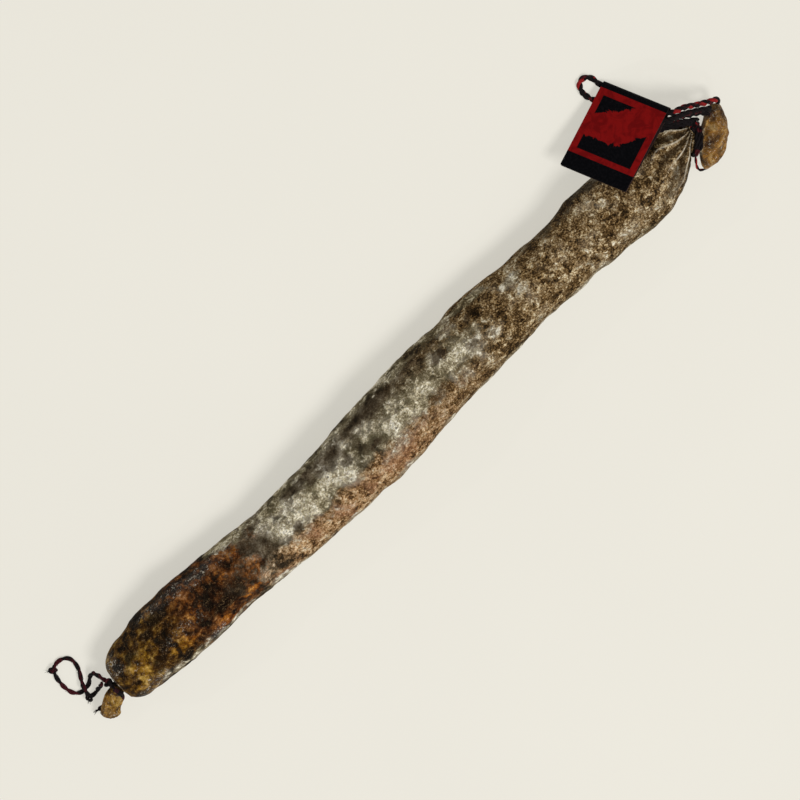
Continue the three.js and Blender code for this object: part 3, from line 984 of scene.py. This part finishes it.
UNDER_TAG_ROUTES = [
    [
        [282.0, 3.0, 21.8], [278.8, 6.6, 22.8], [274.8, 9.6, 24.8], [269.6, 12.4, 27.6],
        [263.4, 16.4, 30.4], [257.2, 19.8, 32.4], [251.0, 21.4, 33.6], [244.0, 24.0, 33.6],
    ],
    [
        [273.6, 6.0, 23.4], [266.6, 10.0, 26.8], [262.6, 13.0, 29.2], [256.6, 16.4, 31.6],
        [250.4, 19.4, 33.0], [244.0, 22.0, 33.4],
    ],
    [
        [270.0, 4.4, 23.2], [267.6, 7.0, 25.0], [262.6, 10.4, 28.0], [256.6, 13.8, 30.6],
        [250.6, 17.0, 32.4], [244.0, 20.2, 33.0],
    ],
]
TAIL_ROUTE = [
    [-285.0, -7.4, 21.0], [-286.6, -9.4, 17.5], [-289.4, -10.8, 11.5], [-294.0, -9.6, 7.0],
    [-299.4, -6.6, 4.8], [-303.4, -5.2, 3.6], [-306.2, -4.8, 3.2],
]


def seen_route(rows):
    """Rows of x, distance across the view and height, as x, y and height."""
    tilt = math.tan(CAMERA_TILT)
    return [[x, seen / math.cos(CAMERA_TILT) + (z - CAMERA_AIM[2]) * tilt, z] for x, seen, z in rows]


def make_cords(black, wine, red, ink):
    rng = np.random.default_rng(41)
    made = {}

    lower = Bundle()
    lower_path = smooth_route(LOWER_LOOP_ROUTE, 0.45)
    add_strand(lower, lower_path, LOWER_CORD, LOWER_LAY, (1, 1))
    add_hairs(lower, lower_path, LOWER_CORD, 150, 1.1, (0, 1), rng)
    made["lower_loop"] = lower.piece("lower_loop_cord", [black, wine])

    upper = Bundle()
    upper_path = smooth_route(UPPER_LOOP_ROUTE, 0.5)
    # The cord changes from red and black to black alone where the tag hides it.
    behind_tag = len(upper_path) // 2 + 30
    add_strand(upper, upper_path[:behind_tag], UPPER_CORD, UPPER_LAY, (0, 1), phase=0.6)
    add_strand(upper, upper_path[behind_tag - 8:], UPPER_CORD, UPPER_LAY, (1, 1), phase=0.6)
    add_hairs(upper, upper_path, UPPER_CORD, 230, 1.2, (0, 1), rng)
    made["upper_loop"] = upper.piece("upper_loop_cord", [red, ink])

    tie = Bundle()
    path = winding_path((-285.4, -4.3, 20.8, 4.0, 4.0, 6), LOWER_TIE_CORD, 1.8, 0.1, 1.0)
    add_strand(tie, path, LOWER_TIE_CORD, LOWER_LAY, (0, 0))
    path = smooth_route(seen_route(TAIL_ROUTE), 0.45)
    add_strand(tie, path, TAIL_CORD, LOWER_LAY, (1, 1), phase=1.0)
    add_fray(tie, path[-1], path[-1] - path[-6], 22, 4.0, (0, 1), rng, spread=0.35)
    add_hairs(tie, path, 2.2, 12, 1.0, (0, 1), rng)
    made["lower_tie"] = tie.piece("lower_tie_cord", [black, wine])

    tie = Bundle()
    path = winding_path((262.8, -5.5, 20, 8.5, 5.5, -45), UPPER_TIE_CORD, 2.25, 0.1, 0.6)
    add_strand(tie, path, UPPER_TIE_CORD, UPPER_LAY, (0, 0))
    path = smooth_route(seen_route(HOOK_ROUTE), 0.45)
    add_strand(tie, path, HOOK_CORD, UPPER_LAY, (1, 0), phase=0.4)
    for route in UNDER_TAG_ROUTES:
        path = smooth_route(seen_route(route), 0.5)
        add_strand(tie, path, UNDER_TAG_CORD, UPPER_LAY, (0, 0), phase=0.9)
    made["upper_tie"] = tie.piece("upper_tie_cord", [ink, red])

    def knot(name, shape, diameter, lay, materials, fray=None):
        bundle = Bundle()
        add_strand(bundle, knot_path(*shape), diameter, lay, (0, 1))
        if fray:
            add_fray(bundle, *fray, (0, 1), rng)
        return bundle.piece(name, materials)

    shape = (-286.2, 2.8, 21.8), 2.7, (0.3, 0.8, -0.5), (0.9, 0.1, 0.3)
    made["lower_knot"] = knot("lower_tie_knot", shape, 2.3, LOWER_LAY, [black, wine])
    shape = (-308.3, 31.0, 2.6), 2.6, (1.0, 0.2, 0.0), (0.1, 0.9, 0.35)
    fray = (-309.6, 32.0, 2.4), (-0.7, 0.6, 0.1), 12, 3.6
    made["loop_knot"] = knot("lower_loop_knot", shape, 2.0, LOWER_LAY, [black, wine], fray)
    shape = (-304.6, -2.2, 3.0), 2.4, (0.8, -0.5, 0.0), (0.5, 0.8, 0.2)
    fray = (-305.6, -3.4, 2.4), (-0.6, -0.8, 0.0), 8, 2.8
    made["end_knot"] = knot("lower_loop_end_knot", shape, 1.9, LOWER_LAY, [black, wine], fray)
    shape = (268.8, 4.2, 23.4), 3.7, (0.7, 0.7, 0.1), (-0.3, 0.5, 0.8)
    made["upper_knot"] = knot("upper_tie_knot", shape, 2.6, UPPER_LAY, [ink, red])
    return made, lower_path, upper_path


# ---- tag

TAG_SPINE_LOW = np.array([244.7, 67.1, 5.0])
TAG_SPINE_HIGH = np.array([262.8, 32.2, 38.8])
TAG_FOOT_LOW = np.array([182.3, 49.9, 20.7])
CARD_WIDTH = 52
CARD_REACH = 66.6
CARD_HALF_THICKNESS = 0.25
CARD_FOLD = 2.5
FOLD_REACH = 2.8
LEAF_STEPS = 33
CARD_TOP = 0.3
CARD_CORNER = 1.1
BACK_LEAF = [(FOLD_REACH, 5.3), (18, 5.1), (42, 2.9), (CARD_REACH, 1.2)]
CARD_COLUMNS = 27
BLACK_SPINE_BAND = 5.2
BLACK_FOOT_BAND = 11.5
RED_BORDER = 5.0
PANEL_TOP = 10
PANEL_FOOT = 51


def card_profile():
    """The card's middle line from the front foot edge over the fold to the back edge, as reach and depth."""
    front = [(reach, CARD_TOP) for reach in np.linspace(CARD_REACH, FOLD_REACH, LEAF_STEPS)]
    bend = np.linspace(0, np.pi, 13)[1:-1]
    fold = [(FOLD_REACH - CARD_FOLD * math.sin(a), CARD_TOP + CARD_FOLD * (1 - math.cos(a))) for a in bend]
    knots = [row[0] for row in BACK_LEAF]
    reach = np.linspace(FOLD_REACH, CARD_REACH, LEAF_STEPS)
    back = list(zip(reach, eased(knots, [row[1] for row in BACK_LEAF], reach)))
    profile = np.array(front + fold + back)
    near = np.array([0.12, 0.35, 0.7])
    head = np.stack([CARD_REACH - near, np.full(len(near), CARD_TOP)], axis=1)
    slope = (profile[-1] - profile[-2]) / np.linalg.norm(profile[-1] - profile[-2])
    tail = profile[-1] - near[::-1, None] * slope
    return np.vstack([profile[:1], head, profile[1:-1], tail, profile[-1:]])


def make_tag(materials):
    across = TAG_SPINE_HIGH - TAG_SPINE_LOW
    width = np.linalg.norm(across)
    down = TAG_FOOT_LOW - TAG_SPINE_LOW
    down /= np.linalg.norm(down)
    outward = np.cross(down, across / width)
    outward /= np.linalg.norm(outward)
    square = np.cross(outward, down)
    profile = card_profile()
    travelled = travelled_along(profile)
    slope = np.gradient(profile, axis=0)
    slope /= np.linalg.norm(slope, axis=1)[:, None]
    from_end = np.minimum(travelled, travelled[-1] - travelled)
    inset = np.where(
        from_end < CARD_CORNER,
        CARD_CORNER - np.sqrt(np.maximum(CARD_CORNER**2 - (CARD_CORNER - from_end) ** 2, 0)),
        0,
    )
    share = np.linspace(-1, 1, CARD_COLUMNS)
    rows = len(profile)
    points = []
    place_across = []
    place_down = []
    for face in (1, -1):
        for (reach, depth), (step_reach, step_depth), cut in zip(profile, slope, inset):
            thick_reach = reach + step_depth * CARD_HALF_THICKNESS * -face
            thick_depth = depth - step_reach * CARD_HALF_THICKNESS * -face
            bow = 0.35 * share**2 * (reach / CARD_REACH) ** 2
            along = width / 2 + share * (width / 2 - cut)
            points.append(
                TAG_SPINE_LOW
                + down * thick_reach
                + outward * (bow - thick_depth)[:, None]
                + square * along[:, None]
            )
            place_across += list(along)
            place_down += [reach] * CARD_COLUMNS
    points = np.vstack(points)
    faces = []
    looks = []
    sheet = rows * CARD_COLUMNS
    fold_end = int(np.argmin(profile[:, 0])) + 6
    for row in range(rows - 1):
        for column in range(CARD_COLUMNS - 1):
            a = row * CARD_COLUMNS + column
            b = a + CARD_COLUMNS
            faces.append((a, a + 1, b + 1, b))
            looks.append(0 if row < fold_end else 1)
            faces.append((sheet + a, sheet + b, sheet + b + 1, sheet + a + 1))
            looks.append(2)
    rim = [(0, c) for c in range(CARD_COLUMNS)] + [(r, CARD_COLUMNS - 1) for r in range(1, rows)]
    rim += [(rows - 1, c) for c in range(CARD_COLUMNS - 2, -1, -1)]
    rim += [(r, 0) for r in range(rows - 2, 0, -1)]
    rim = [r * CARD_COLUMNS + c for r, c in rim]
    for here, after in zip(rim, rim[1:] + rim[:1]):
        faces.append((here, sheet + here, sheet + after, after))
        looks.append(2)
    piece = new_piece("tag_card", points, faces, materials, looks)
    piece.data.set_sharp_from_angle(angle=math.radians(50))
    for name, values in (("across", place_across), ("down", place_down)):
        layer = piece.data.attributes.new(name, "FLOAT", "POINT")
        layer.data.foreach_set("value", np.array(values, dtype=np.float32))
    return piece


def card_print_material():
    n = Nodes("card_print")
    place = n.place()
    across = n.attribute("across")
    down = n.attribute("down")
    edge = 0.12
    brush = n.noise(place, 7, 4, roughness=0.6, distortion=0.8)
    wear = n.noise(place, 1.2, 3)
    red = n.mix(n.ramp(brush, 0.4, 0.62), srgb(126, 14, 14), srgb(104, 8, 10))
    black = n.mix(n.ramp(wear, 0.45, 0.65), srgb(4, 4, 7), srgb(12, 11, 15))
    inside = n.ramp(across, RED_BORDER - edge, RED_BORDER + edge)
    inside = n.times(inside, n.ramp(across, CARD_WIDTH - RED_BORDER + edge, CARD_WIDTH - RED_BORDER - edge))
    inside = n.times(inside, n.ramp(down, PANEL_TOP - edge, PANEL_TOP + edge))
    inside = n.times(inside, n.ramp(down, PANEL_FOOT + edge, PANEL_FOOT - edge))
    ragged = n.math("MULTIPLY_ADD", brush, 16, -8)
    corner = n.math("ADD", n.math("MULTIPLY_ADD", across, 0.55, ragged), down)
    slope = n.math("ADD", n.math("MULTIPLY_ADD", across, 0.8, ragged), down)
    foot = n.math("ADD", ragged, down)
    dark = n.math("MAXIMUM", n.ramp(corner, 27, 26), n.ramp(slope, 63, 64))
    dark = n.math("MAXIMUM", dark, n.ramp(foot, 40, 41))
    panel = n.mix(dark, red, black)
    colour = n.mix(inside, red, panel)
    foot_band = CARD_REACH - BLACK_FOOT_BAND
    spine = n.ramp(down, BLACK_SPINE_BAND + edge, BLACK_SPINE_BAND - edge)
    bands = n.math("MAXIMUM", spine, n.ramp(down, foot_band - edge, foot_band + edge))
    colour = n.mix(bands, colour, black)
    n.shader.inputs["Specular IOR Level"].default_value = 0.04
    return n.finish(colour, n.ramp(wear, 0.3, 0.7, 0.42, 0.55), wear, bump_mm=0.05, strength=0.4)


def card_plain_material(name, base, lit):
    n = Nodes(name)
    fibres = n.noise(n.place(), 0.9, 4, roughness=0.6)
    colour = n.mix(n.ramp(fibres, 0.35, 0.65), base, lit)
    return n.finish(colour, 0.6, fibres, bump_mm=0.06, strength=0.5)


# ---- floor

FLOOR_GLOW = 0.66
FLOOR_HALF = 20000
FLOOR_HEIGHT = -0.1


def make_floor():
    n = Nodes("floor")
    cloud = n.noise(n.place(), 260, 2)
    colour = n.mix(n.ramp(cloud, 0.3, 0.7), srgb(143, 141, 136), srgb(141, 139, 134))
    n.shader.inputs["Specular IOR Level"].default_value = 0.1
    n.shader.inputs["Emission Color"].default_value = srgb(233, 230, 219)
    n.shader.inputs["Emission Strength"].default_value = FLOOR_GLOW
    material = n.finish(colour, 0.9)
    signs = (-1, -1), (1, -1), (1, 1), (-1, 1)
    corners = [(x * FLOOR_HALF, y * FLOOR_HALF, FLOOR_HEIGHT) for x, y in signs]
    floor = new_piece("floor", corners, [(0, 1, 2, 3)], [material])


# ---- assembly

make_camera()
make_lights()
make_floor()

black = yarn_material("black_yarn", srgb(28, 8, 14), srgb(64, 24, 32), 0.8, 7)
wine = yarn_material("wine_yarn", srgb(38, 5, 11), srgb(74, 14, 24), 0.66, 10)
red = yarn_material("red_yarn", srgb(104, 12, 16), srgb(160, 30, 30), 0.3, 11)
ink = yarn_material("ink_yarn", srgb(44, 8, 12), srgb(90, 22, 28), 0.85, 9)

skin = make_sausage(casing_material())
cords, lower_path, upper_path = make_cords(black, wine, red, ink)
tag = make_tag([
    card_print_material(),
    card_plain_material("card_back", srgb(18, 14, 18), srgb(30, 24, 28)),
    card_plain_material("card_core", srgb(30, 14, 14), srgb(48, 24, 24)),
])

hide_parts("sausage")
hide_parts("lower_loop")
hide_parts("upper_loop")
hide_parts("lower_tie")
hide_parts("upper_tie")
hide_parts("tag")
for piece in [skin, tag, *cords.values()]:
    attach(piece, "root")
